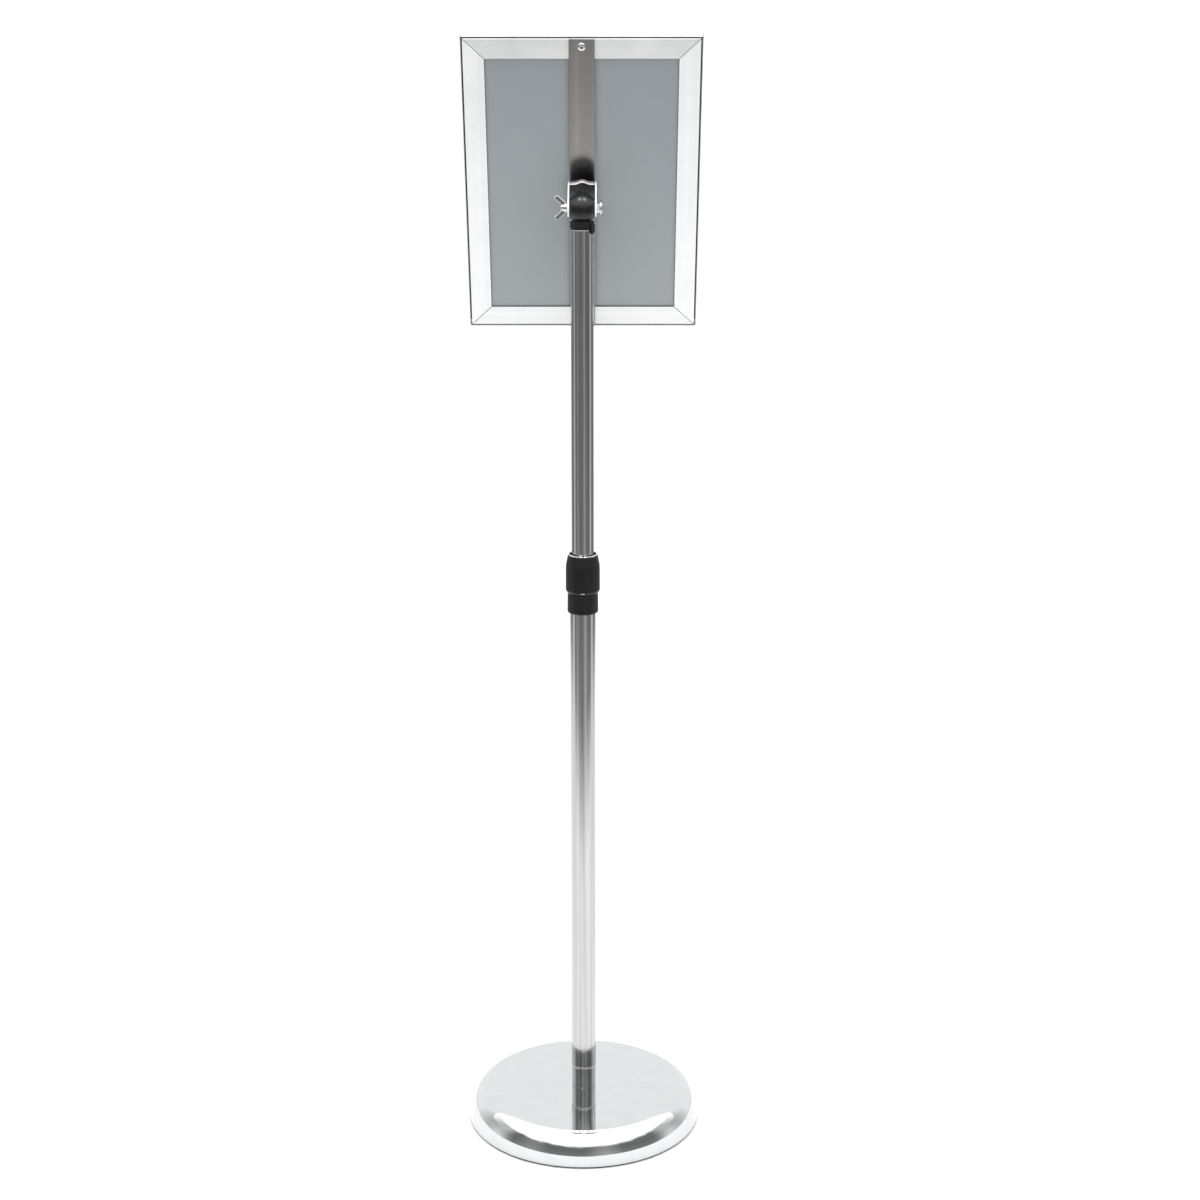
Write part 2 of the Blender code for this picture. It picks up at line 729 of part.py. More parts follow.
ONTO_RAIL = Matrix(((0, 0, 1, 0), (0, -1, 0, 0), (1, 0, 0, 0), (0, 0, 0, 1)))  # inset, depth, run


def build_frame(sign):
    middle = at(0, 0, FRAME_RISE)
    sides = (
        ("bottom", 0, FRAME_HEIGHT / 2, FRAME_WIDTH),
        ("left", 90, FRAME_WIDTH / 2, FRAME_HEIGHT),
        ("top", 180, FRAME_HEIGHT / 2, FRAME_WIDTH),
        ("right", 270, FRAME_WIDTH / 2, FRAME_HEIGHT),
    )
    for side, bearing, reach, length in sides:
        turn = middle @ Matrix.Rotation(math.radians(bearing), 4, "Y")
        rail_place = turn @ at(0, BACK_FACE, -reach) @ ONTO_RAIL
        rail = part(f"rail_{side}", mitred(base_rail_section(), length, 0), "aluminium", rail_place, sign)
        if side in ("top", "bottom"):
            hole = turn @ at(0, BACK_FACE, FLANGE_OUTER + RIVET_INSET - reach) @ FRONT_VIEW
            shape(rail, rod(RIVET_HOLE, 0.01, RIVET_STEPS), "DIFFERENCE", hole)

        hinge = turn @ at(0, BACK_FACE - BEAD_DEPTH, BEAD_INSET - reach) @ ONTO_RAIL
        part(f"snap_{side}", mitred(snap_section(), length, BEAD_INSET), "aluminium", hinge, sign)
        for end, run in (("a", -length / 4), ("b", length / 4)):
            clip = extruded([spring_section()], SPRING_LENGTH)
            place = turn @ at(run, BACK_FACE, -reach) @ ONTO_RAIL
            part(f"snap_spring_{side}_{end}", clip, "zinc", place, sign)
    build_corner_keys(sign)


def build_corner_keys(sign):
    near = FLANGE_OUTER + RAIL_WALL + GAP
    far = STOP_WALL - GAP
    depth = FLANGE_THICKNESS + GAP + KEY_THICKNESS / 2
    for name, x_side, z_side in (
        ("upper_left", -1, 1),
        ("upper_right", 1, 1),
        ("lower_left", -1, -1),
        ("lower_right", 1, -1),
    ):
        corner = [(near, near), (KEY_ARM, near), (KEY_ARM, far), (far, far), (far, KEY_ARM), (near, KEY_ARM)]
        outline = [(x_side * (FRAME_WIDTH / 2 - x), z_side * (FRAME_HEIGHT / 2 - z)) for x, z in corner]
        place = at(0, BACK_FACE - depth, FRAME_RISE) @ FRONT_VIEW
        part(f"corner_key_{name}", extruded([outline], KEY_THICKNESS), "zinc", place, sign)


def build_sheets(sign):
    half_width = FRAME_WIDTH / 2 - SHEET_INSET
    half_height = FRAME_HEIGHT / 2 - SHEET_INSET
    depth = FLANGE_THICKNESS
    for name, thickness, finish in (
        ("back_panel", PANEL_THICKNESS, "grey_plastic"),
        ("poster", POSTER_THICKNESS, "paper"),
        ("clear_sheet", GLAZING_THICKNESS, "glazing"),
    ):
        depth += GAP
        place = at(0, BACK_FACE - depth - thickness / 2, FRAME_RISE)
        part(name, block((2 * half_width, thickness, 2 * half_height)), finish, place, sign)
        depth += thickness


def build_strap(sign):
    rivet_height = FRAME_HEIGHT / 2 - FLANGE_OUTER - RIVET_INSET
    frame_rivets = (("strap_rivet_top", FRAME_RISE + rivet_height), ("strap_rivet_bottom", FRAME_RISE - rivet_height))
    centres = [(0, height) for _, height in frame_rivets] + [(x, z) for _, x, z in BRACKET_RIVET_PLACES]
    outline = rectangle(-STRAP_WIDTH / 2, FRAME_RISE + STRAP_BOTTOM, STRAP_WIDTH / 2, FRAME_RISE + STRAP_TOP)
    holes = [circle(centre, RIVET_HOLE, RIVET_STEPS) for centre in centres]
    face = BACK_FACE + GAP + STRAP_THICKNESS
    place = at(0, face - STRAP_THICKNESS / 2, 0) @ FRONT_VIEW
    part("back_strap", extruded([outline, *holes], STRAP_THICKNESS), "brushed_steel", place, sign)
    for name, height in frame_rivets:
        build_rivet(name, sign, (0, height), RIVET_RADIUS, face, BACK_FACE - FLANGE_THICKNESS)


build_base()
build_pole(build_foot())
build_lock()
build_knuckle(build_pole_cap())
SIGN = empty("sign_tilt", (0, 0, PIVOT_HEIGHT), rotation=(-TILT, 0, 0))
build_bracket(SIGN)
build_pivot_hardware(SIGN)
build_strap(SIGN)
build_frame(SIGN)
build_sheets(SIGN)
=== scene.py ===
"""Sign stand, seen from behind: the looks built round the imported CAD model.

Metres, +Z up. The sign faces -Y and leans back towards +Y, where the camera stands.
"""

import json
import math

import bmesh
import bpy
from mathutils import Matrix, Vector


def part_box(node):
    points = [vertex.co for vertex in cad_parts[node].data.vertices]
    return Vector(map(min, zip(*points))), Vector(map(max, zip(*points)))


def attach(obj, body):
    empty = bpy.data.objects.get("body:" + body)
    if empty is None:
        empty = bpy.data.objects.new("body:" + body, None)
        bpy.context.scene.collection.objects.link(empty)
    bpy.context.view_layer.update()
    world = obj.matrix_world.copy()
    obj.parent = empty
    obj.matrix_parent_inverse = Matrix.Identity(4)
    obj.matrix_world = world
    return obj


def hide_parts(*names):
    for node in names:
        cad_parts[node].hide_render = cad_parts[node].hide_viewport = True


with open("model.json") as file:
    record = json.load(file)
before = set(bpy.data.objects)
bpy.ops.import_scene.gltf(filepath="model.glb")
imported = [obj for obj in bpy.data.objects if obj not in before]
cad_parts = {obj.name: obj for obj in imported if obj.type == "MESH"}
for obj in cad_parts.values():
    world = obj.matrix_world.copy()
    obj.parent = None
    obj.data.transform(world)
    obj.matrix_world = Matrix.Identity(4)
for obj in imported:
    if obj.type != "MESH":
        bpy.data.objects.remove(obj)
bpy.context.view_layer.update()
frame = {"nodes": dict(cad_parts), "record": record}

RECORD = frame["record"]
SLOT_OF = {row["node"]: row["material_slot"] for row in RECORD["subparts"]}
BODY_OF = {node: body for body, nodes in RECORD["behaviour"]["bodies"].items() for node in nodes}
JOINT = {joint["name"]: joint for joint in RECORD["behaviour"]["joints"]}
MM = 0.001
GAP = 0.3 * MM


def top_of(node):
    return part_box(node)[1].z


def foot_of(node):
    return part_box(node)[0].z


def radius_of(node):
    low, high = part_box(node)
    return (high.x - low.x) / 2


# ---------------------------------------------------------------- the sign's own frame

PIVOT = Vector(JOINT["sign_tilt"]["pos_m"])
TILT = math.radians(JOINT["sign_tilt"]["range_deg"][1])
SIGN = Matrix.Translation(PIVOT) @ Matrix.Rotation(-TILT, 4, "X")
TO_SIGN = SIGN.inverted()


def sign_box(*nodes):
    """Lowest and highest corners in the sign's own frame: X across, Y out of its back, Z up along it."""
    points = [TO_SIGN @ v.co for node in nodes for v in frame["nodes"][node].data.vertices]
    low = Vector(min(p[i] for p in points) for i in range(3))
    high = Vector(max(p[i] for p in points) for i in range(3))
    return low, high


# ---------------------------------------------------------------- materials


class Nodes:
    """A short way to wire one material."""

    def __init__(self, name):
        self.material = bpy.data.materials.new(name)
        self.material.use_nodes = True
        self.tree = self.material.node_tree
        self.shader = self.tree.nodes["Principled BSDF"]

    def add(self, kind, **settings):
        node = self.tree.nodes.new(kind)
        for key, value in settings.items():
            setattr(node, key, value)
        return node

    def link(self, source, target):
        self.tree.links.new(source, target)

    def fixed(self, **values):
        for key, value in values.items():
            self.shader.inputs[key.replace("_", " ")].default_value = value

    def place(self, stretch=(1, 1, 1)):
        """Object coordinates, stretched."""
        coordinates = self.add("ShaderNodeTexCoord")
        mapping = self.add("ShaderNodeMapping", vector_type="POINT")
        mapping.inputs["Scale"].default_value = stretch
        self.link(coordinates.outputs["Object"], mapping.inputs["Vector"])
        return mapping.outputs["Vector"]

    def noise(self, vector, scale, detail=3.0, roughness=0.55):
        node = self.add("ShaderNodeTexNoise")
        node.inputs["Scale"].default_value = scale
        node.inputs["Detail"].default_value = detail
        node.inputs["Roughness"].default_value = roughness
        self.link(vector, node.inputs["Vector"])
        return node.outputs["Fac"]

    def spread(self, value, low, high, start=0.3, end=0.7):
        node = self.add("ShaderNodeMapRange")
        node.inputs["From Min"].default_value = start
        node.inputs["From Max"].default_value = end
        node.inputs["To Min"].default_value = low
        node.inputs["To Max"].default_value = high
        self.link(value, node.inputs["Value"])
        return node.outputs["Result"]

    def mix(self, factor, low, high):
        node = self.add("ShaderNodeMix", data_type="RGBA")
        node.inputs["A"].default_value = (*low, 1)
        node.inputs["B"].default_value = (*high, 1)
        self.link(factor, node.inputs["Factor"])
        return node.outputs["Result"]

    def maths(self, operation, first, second):
        node = self.add("ShaderNodeMath", operation=operation)
        for socket, value in zip(node.inputs, (first, second)):
            if isinstance(value, (int, float)):
                socket.default_value = value
            else:
                self.link(value, socket)
        return node.outputs["Value"]

    def split(self, vector):
        node = self.add("ShaderNodeSeparateXYZ")
        self.link(vector, node.inputs["Vector"])
        return node.outputs[0], node.outputs[1], node.outputs[2]

    def from_axis(self, x, y):
        """Distance from the Z axis."""
        square = self.maths("ADD", self.maths("MULTIPLY", x, x), self.maths("MULTIPLY", y, y))
        return self.maths("SQRT", square, 0.0)

    def bump(self, height, distance, below=None):
        node = self.add("ShaderNodeBump")
        node.inputs["Strength"].default_value = 1.0
        node.inputs["Distance"].default_value = distance
        self.link(height, node.inputs["Height"])
        if below is not None:
            self.link(below, node.inputs["Normal"])
        return node.outputs["Normal"]

    def finish(self, colour, roughness, normal):
        self.link(colour, self.shader.inputs["Base Color"])
        self.link(roughness, self.shader.inputs["Roughness"])
        self.link(normal, self.shader.inputs["Normal"])
        return self.material


def streaked_metal(name, dark, light, rough, run, grain, depth, metallic=1.0, smudge=0.0):
    """Drawn, rolled or brushed metal: fine lines along one direction over slow blotches of handling."""
    n = Nodes(name)
    n.fixed(Metallic=metallic)
    along = n.place(run)
    fine = n.noise(along, grain, 4.0, 0.6)
    wide = n.noise(along, grain * 0.22, 2.0, 0.5)
    blotch = n.noise(n.place(), 24.0, 4.0, 0.6)
    tone = n.maths("ADD", n.maths("MULTIPLY", fine, 0.45), n.maths("MULTIPLY", wide, 0.55))
    if smudge:
        tone = n.maths("ADD", n.maths("MULTIPLY", tone, 1 - smudge), n.maths("MULTIPLY", blotch, smudge))
    colour = n.mix(n.spread(tone, 0, 1, 0.36, 0.64), dark, light)
    wear = n.maths("ADD", n.maths("MULTIPLY", fine, 0.5), n.maths("MULTIPLY", blotch, 0.5))
    roughness = n.spread(wear, rough[0], rough[1], 0.35, 0.65)
    return n.finish(colour, roughness, n.bump(fine, depth))


LATHE_LINES = 900.0


def plated(name, dark, light, rough, depth, waviness, lines):
    """Bright plating: nearly even, with slow waves in the sheet under it and fine lathe lines."""
    n = Nodes(name)
    n.fixed(Metallic=1.0)
    here = n.place()
    slow = n.noise(here, 9.0, 2.0, 0.4)
    cloud = n.noise(here, 45.0, 5.0, 0.62)
    colour = n.mix(n.spread(cloud, 0, 1), dark, light)
    roughness = n.spread(cloud, rough[0], rough[1])
    normal = n.bump(slow, waviness)
    normal = n.bump(n.noise(here, 700.0, 2.0), depth, below=normal)
    x, y, _ = n.split(here)
    ring = n.maths("MULTIPLY", n.from_axis(x, y), LATHE_LINES)
    lathe = n.add("ShaderNodeTexNoise", noise_dimensions="1D")
    lathe.inputs["Scale"].default_value = 1.0
    n.link(ring, lathe.inputs["W"])
    return n.finish(colour, roughness, n.bump(lathe.outputs["Fac"], lines, below=normal))


def moulded(name, dark, light, rough, grain, depth, specular=0.5):
    """Moulded plastic or rubber: a fine skin grain, faint clouding and scuffs that change its gloss."""
    n = Nodes(name)
    n.fixed(Metallic=0.0, Specular_IOR_Level=specular)
    here = n.place()
    cloud = n.noise(here, 60.0, 4.0, 0.6)
    skin = n.noise(here, grain, 3.0, 0.6)
    scuff = n.noise(n.place((1, 1, 0.25)), 260.0, 5.0, 0.7)
    colour = n.mix(n.spread(cloud, 0, 1), dark, light)
    gloss = n.maths("ADD", n.maths("MULTIPLY", cloud, 0.4), n.maths("MULTIPLY", scuff, 0.6))
    return n.finish(colour, n.spread(gloss, rough[0], rough[1]), n.bump(skin, depth))


def sheet_grey(name, half_height):
    """The matt grey backing sheet, with painted light that makes it a little lighter towards its foot, and a
    faint haze of dust.
    """
    n = Nodes(name)
    n.fixed(Metallic=0.0, Specular_IOR_Level=0.35)
    here = n.place()
    # Painted light: the colour grows lighter towards the sheet's foot, standing in for how the light falls
    # on it.
    painted_light_ramp = n.spread(n.split(here)[2], 0.80, 0.0, -half_height, half_height)
    haze = n.noise(here, 7.0, 5.0, 0.6)
    fine = n.noise(here, 900.0, 3.0, 0.6)
    tone = n.maths("ADD", painted_light_ramp, n.maths("MULTIPLY", haze, 0.40))
    colour = n.mix(n.spread(tone, 0, 1, 0.10, 1.10), (0.195, 0.216, 0.226), (0.285, 0.308, 0.317))
    return n.finish(colour, n.spread(haze, 0.50, 0.68), n.bump(fine, 0.00003))


def clear_film(name):
    n = Nodes(name)
    n.fixed(Metallic=0.0, Alpha=0.16, Specular_IOR_Level=0.5)
    here = n.place()
    grain = n.noise(here, 1400.0, 2.0)
    haze = n.noise(here, 6.0, 3.0)
    colour = n.mix(n.spread(haze, 0, 1), (0.80, 0.83, 0.85), (0.88, 0.90, 0.91))
    return n.finish(colour, n.spread(haze, 0.16, 0.24), n.bump(grain, 0.00001))


def paper_sheet(name):
    n = Nodes(name)
    n.fixed(Metallic=0.0, Specular_IOR_Level=0.25)
    here = n.place()
    fibre = n.noise(n.place((1, 1, 0.5)), 500.0, 5.0, 0.7)
    cloud = n.noise(here, 14.0, 3.0)
    colour = n.mix(n.spread(cloud, 0, 1), (0.66, 0.66, 0.645), (0.71, 0.71, 0.70))
    return n.finish(colour, n.spread(fibre, 0.78, 0.92), n.bump(fibre, 0.00003))


ALONG_Z = (1, 1, 0.008)
ALONG_X = (0.008, 1, 1)
EVEN = (1, 1, 1)
BLACK = ((0.005, 0.005, 0.0055), (0.009, 0.009, 0.0095))

MATERIALS = {
    "chrome": plated(
        "chrome_plate", (0.60, 0.605, 0.61), (0.64, 0.645, 0.65), (0.03, 0.07), 0.0000012, 0.0012, 0.0000016
    ),
    "polished_steel": streaked_metal(
        "polished_tube", (0.40, 0.40, 0.40), (0.56, 0.56, 0.56), (0.07, 0.16), ALONG_Z, 900.0, 0.000006
    ),
    "brushed_steel": streaked_metal(
        "brushed_strap", (0.245, 0.240, 0.230), (0.300, 0.294, 0.280), (0.15, 0.23), ALONG_Z, 900.0, 0.000004
    ),
    "zinc": streaked_metal(
        "bright_zinc", (0.52, 0.525, 0.535), (0.72, 0.72, 0.72), (0.14, 0.30), EVEN, 180.0, 0.00001,
        smudge=0.5,
    ),
    "aluminium": streaked_metal(
        "satin_aluminium_z", (0.70, 0.71, 0.71), (0.80, 0.805, 0.80), (0.30, 0.44), ALONG_Z, 700.0, 0.00001,
        metallic=0.5, smudge=0.45,
    ),
    "cast_iron": moulded(
        "raw_casting", (0.055, 0.055, 0.057), (0.095, 0.093, 0.09), (0.70, 0.90), 320.0, 0.0003
    ),
    "black_plastic": moulded("black_moulding", *BLACK, (0.30, 0.44), 1500.0, 0.00002, 0.22),
    "white_plastic": moulded(
        "nylon_moulding", (0.62, 0.62, 0.59), (0.72, 0.72, 0.69), (0.40, 0.55), 800.0, 0.00002
    ),
    "foam": moulded(
        "foam_rubber", (0.016, 0.016, 0.016), (0.030, 0.030, 0.030), (0.85, 0.97), 1200.0, 0.0004, 0.2
    ),
    "grey_plastic": sheet_grey("grey_backing", 0.15),
    "paper": paper_sheet("blank_paper"),
    "clear_plastic": clear_film("clear_cover"),
}
PALE_MARK = moulded("pale_mark", (0.45, 0.45, 0.44), (0.55, 0.55, 0.54), (0.35, 0.50), 900.0, 0.00002)
GLOSS_BLACK = moulded("gloss_moulding", *BLACK, (0.20, 0.30), 1500.0, 0.00001, 0.35)
# Painted highlight: a near-white copy of the zinc for edges and faces that catch the light.
EDGE_PAINTED_HIGHLIGHT = streaked_metal(
    "edge_painted_highlight", (0.80, 0.80, 0.80), (0.95, 0.95, 0.94), (0.40, 0.60), EVEN, 400.0, 0.00001,
    metallic=0.25,
)
# Painted shade: a near-black copy of the zinc for faces in shadow and in dark reflections.
ZINC_PAINTED_SHADE = streaked_metal(
    "zinc_painted_shade", (0.10, 0.10, 0.10), (0.17, 0.17, 0.17), (0.25, 0.40), EVEN, 180.0, 0.00001, smudge=0.5
)
# Painted shade: a near-black copy for recesses, the rails' inner flange edges and the rivets' mandrel holes.
RECESS_PAINTED_SHADE = streaked_metal(
    "recess_painted_shade", (0.05, 0.05, 0.05), (0.09, 0.09, 0.09), (0.50, 0.65), EVEN, 400.0, 0.00001, smudge=0.5
)
# Grain run across, and painted shade: a slightly darker copy of the rail aluminium for the bottom rail.
ALUMINIUM_ACROSS_PAINTED_SHADE = streaked_metal(
    "satin_aluminium_x_painted_shade", (0.66, 0.67, 0.67), (0.77, 0.775, 0.77), (0.30, 0.44), ALONG_X, 700.0, 0.00001,
    metallic=0.5, smudge=0.45,
)
COVER_ALUMINIUM = [
    streaked_metal(
        f"cover_aluminium_{i}", (0.52, 0.525, 0.53), (0.60, 0.605, 0.605), (0.28, 0.42), run, 700.0, 0.00001,
        metallic=0.7, smudge=0.3,
    )
    for i, run in enumerate((ALONG_X, ALONG_Z))
]
# Painted shade: a darker copy of the rail aluminium for the top rail, its grain run across.
ALUMINIUM_TOP_PAINTED_SHADE = streaked_metal(
    "satin_aluminium_top_painted_shade", (0.56, 0.57, 0.57), (0.66, 0.665, 0.66), (0.30, 0.44), ALONG_X, 700.0, 0.00001,
    metallic=0.5, smudge=0.55,
)


# ---------------------------------------------------------------- shapes


def in_scene(name, data):
    """A new object in the scene's collection."""
    obj = bpy.data.objects.new(name, data)
    bpy.context.scene.collection.objects.link(obj)
    return obj


def mesh_of(solid, name="shape"):
    """The finished bmesh as a mesh."""
    mesh = bpy.data.meshes.new(name)
    solid.to_mesh(mesh)
    solid.free()
    return mesh


def soften(solid, edges, width, **settings):
    """Rounds some of a shape's edges with two segments."""
    bmesh.ops.bevel(
        solid, geom=edges, offset=width, offset_type="OFFSET", segments=2, profile=0.5, affect="EDGES",
        **settings,
    )


def plate(points, thickness):
    """A flat outline, given thickness along one direction."""
    solid = bmesh.new()
    face = solid.faces.new([solid.verts.new(point) for point in points])
    moved = bmesh.ops.extrude_face_region(solid, geom=[face])["geom"]
    bmesh.ops.translate(solid, vec=thickness, verts=[v for v in moved if isinstance(v, bmesh.types.BMVert)])
    return solid


def finish_piece(name, mesh, node, place=Matrix(), material=None, sharp=35, weighted=True):
    """Puts a mesh in place as the piece that stands for a CAD node, on its body and in its slot."""
    mesh.name = name
    mesh.materials.append(material or MATERIALS[SLOT_OF[node]])
    mesh.shade_smooth()
    mesh.set_sharp_from_angle(angle=math.radians(sharp))
    obj = in_scene(name, mesh)
    obj.matrix_world = place
    if weighted:
        normals = obj.modifiers.new("weighted", "WEIGHTED_NORMAL")
        normals.keep_sharp = True
    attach(obj, BODY_OF[node])
    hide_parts(node)


def rounded(corners, points=5):
    """(radius, height, fillet) corners of a profile, each fillet replaced by points on its arc."""
    out = []
    count = len(corners)
    for i, (r, z, fillet) in enumerate(corners):
        here = Vector((r, z))
        if not fillet:
            out.append((r, z))
            continue
        before = (Vector(corners[i - 1][:2]) - here).normalized()
        after = (Vector(corners[(i + 1) % count][:2]) - here).normalized()
        half = before.angle(after) / 2
        reach = fillet / math.tan(half)
        centre = here + (before + after).normalized() * (fillet / math.sin(half))
        start = here + before * reach - centre
        end = here + after * reach - centre
        for k in range(points):
            spoke = start.lerp(end, k / (points - 1)).normalized() * fillet
            out.append(tuple(centre + spoke))
    return out


def lathe_mesh(profile, steps=128, ring=False, wobble=None):
    """A profile of (radius, height) points turned about Z. A ring's profile closes on itself."""
    solid = bmesh.new()
    rows = []
    for radius, height in profile:
        if radius < 1e-7:
            rows.append([solid.verts.new((0, 0, height))])
            continue
        row = []
        for k in range(steps):
            turn = 2 * math.pi * k / steps
            out = wobble(radius, height, turn) if wobble else radius
            row.append(solid.verts.new((out * math.cos(turn), out * math.sin(turn), height)))
        rows.append(row)
    pairs = list(zip(rows, rows[1:]))
    if ring:
        pairs.append((rows[-1], rows[0]))
    for upper, lower in pairs:
        for k in range(steps):
            j = (k + 1) % steps
            near = [upper[k % len(upper)], lower[k % len(lower)]]
            far = [lower[j % len(lower)], upper[j % len(upper)]]
            corners = list(dict.fromkeys(near + far))
            if len(corners) > 2:
                solid.faces.new(corners)
    bmesh.ops.recalc_face_normals(solid, faces=solid.faces)
    return mesh_of(solid)


WELD = 2e-6
FLAT_ANGLE = math.radians(0.6)


def refined_mesh(node, bevel, angle):
    """The CAD node's shape in the sign's frame, its flat faces joined again and its edges softened."""
    solid = bmesh.new()
    solid.from_mesh(frame["nodes"][node].data)
    bmesh.ops.transform(solid, matrix=TO_SIGN, verts=solid.verts)
    bmesh.ops.remove_doubles(solid, verts=solid.verts, dist=WELD)
    bmesh.ops.dissolve_limit(
        solid, angle_limit=FLAT_ANGLE, verts=solid.verts, edges=solid.edges, use_dissolve_boundaries=False
    )
    edges = [e for e in solid.edges if len(e.link_faces) == 2 and e.calc_face_angle() > math.radians(angle)]
    soften(solid, edges, bevel, clamp_overlap=True, loop_slide=True)
    bmesh.ops.recalc_face_normals(solid, faces=solid.faces)
    return mesh_of(solid, node)


def combined(mesh, other, operation):
    """One mesh joined with, or cut by, another with the exact solver."""
    obj = in_scene("work", mesh)
    tool = in_scene("tool", other)
    boolean = obj.modifiers.new("boolean", "BOOLEAN")
    boolean.operation = operation
    boolean.solver = "EXACT"
    boolean.object = tool
    bpy.context.view_layer.update()
    graph = bpy.context.evaluated_depsgraph_get()
    result = bpy.data.meshes.new_from_object(obj.evaluated_get(graph))
    bpy.data.objects.remove(obj)
    bpy.data.objects.remove(tool)
    return result


def rod_mesh(radius, length, place):
    """A plain bore cutter."""
    solid = bmesh.new()
    bmesh.ops.create_cone(
        solid, cap_ends=True, segments=48, radius1=radius, radius2=radius, depth=length, matrix=place
    )
    return mesh_of(solid)


# ---------------------------------------------------------------- base

SHEET = 1.2 * MM
BOLT_BORE = 5.3 * MM
SHOULDER_WIDTH = 19.5 * MM
SHOULDER_START = math.radians(13)
WIDEST_HEIGHT = 3.4 * MM
CREASE_WIDTH = 0.35 * MM


def build_base():
    """The pressed cover: a flat top, a fine crease round it, and a shoulder rolled down to the lip."""
    low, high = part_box("base_cover")
    rim = high.x
    foot, top = low.z, high.z
    flat = rim - SHOULDER_WIDTH
    widest = foot + WIDEST_HEIGHT
    groove = CREASE_WIDTH
    start = SHOULDER_START

    def shoulder(inset, steps):
        """From the flat's crease round to the widest ring."""
        out = []
        for k in range(steps + 1):
            turn = start + (math.pi / 2 - start) * k / steps
            share = (math.sin(turn) - math.sin(start)) / (1 - math.sin(start))
            radius = flat + groove + (rim - inset - flat - groove) * share
            height = widest + (top - 0.10 * MM - inset - widest) * math.cos(turn) / math.cos(start)
            out.append((radius, height))
        return out

    outside = [(radius, top) for radius in (BOLT_BORE, 0.030, 0.060, 0.090, flat - 0.0012)]
    outside += [(flat - 0.0003, top - 0.00003), (flat, top - 0.00022), (flat + groove * 0.55, top - 0.00024)]
    outside += shoulder(0, 30)
    lip = [(rim - 0.00012, widest - 0.0012), (rim - 0.0005, foot + 0.0008), (rim - 0.0011, foot + 0.0001)]
    lip += [(rim - 0.0016, foot), (rim - 0.0011 - SHEET, foot + 0.0004)]
    inside = list(reversed(shoulder(SHEET, 14)))
    inside += [(flat - 0.002, top - SHEET), (BOLT_BORE, top - SHEET)]
    finish_piece("base_shell", lathe_mesh(outside + lip + inside, 224, ring=True), "base_cover")

    pad_radius, pad_top = radius_of("base_pad"), top_of("base_pad")
    pad = rounded([(0, pad_top, 0), (pad_radius, pad_top, 0.0004), (pad_radius, 0, 0.0004), (0, 0, 0)])
    finish_piece("floor_pad", lathe_mesh(pad, 160), "base_pad")


TUBE_WALL = 1.1 * MM


def tube_profile(radius, low, high, lip):
    inner = radius - TUBE_WALL
    return rounded([(inner, high, 0.0002), (radius, high, lip), (radius, low, lip), (inner, low, 0.0002)])


def build_pole():
    low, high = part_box("foot_collar")
    radius = high.x
    collar = [
        (BOLT_BORE, high.z, 0),
        (radius - 0.0001, high.z, 0.0005),
        (radius - 0.0001, high.z - 0.0012, 0.0002),
        (radius, high.z - 0.0016, 0.0002),
        (radius, low.z, 0.0004),
        (BOLT_BORE, low.z, 0),
    ]
    finish_piece("foot_ring", lathe_mesh(rounded(collar), 128, ring=True), "foot_collar")
    for name, node, lip in (("lower_pole", "lower_tube", 0.0005), ("upper_pole_tube", "upper_tube", 0.0010)):
        low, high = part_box(node)
        profile = tube_profile(high.x, low.z, high.z, lip)
        finish_piece(name, lathe_mesh(with_rings(profile, high.x, 24), 128, ring=True), node)


LONG_WALL = 20 * MM


def with_rings(profile, radius, rings):
    """Adds rings down the long outer wall, so that its shading stays even."""
    out = []
    for here, after in zip(profile, profile[1:] + profile[:1]):
        out.append(here)
        upright = abs(here[0] - after[0]) < 1e-7 and abs(here[0] - radius) < 1e-6
        if upright and abs(here[1] - after[1]) > LONG_WALL:
            for k in range(1, rings):
                share = k / rings
                out.append((radius, here[1] + (after[1] - here[1]) * share))
    return out


# ---------------------------------------------------------------- twist lock


FLUTES = 16
FLUTE_DEPTH = 0.35 * MM


def grip(low, high, inner):
    """Shallow flats round the sleeve's full middle, fading out towards its mouth and its shoulder."""

    def wobble(radius, height, turn):
        if radius < inner:
            return radius
        share = (height - low) / (high - low)
        fade = max(0.0, min(1.0, (share - 0.08) / 0.10)) * max(0.0, min(1.0, (0.80 - share) / 0.10))
        flute = abs(math.sin(FLUTES / 2 * turn)) ** 0.5
        return radius - FLUTE_DEPTH * fade * (1 - flute)

    return wobble


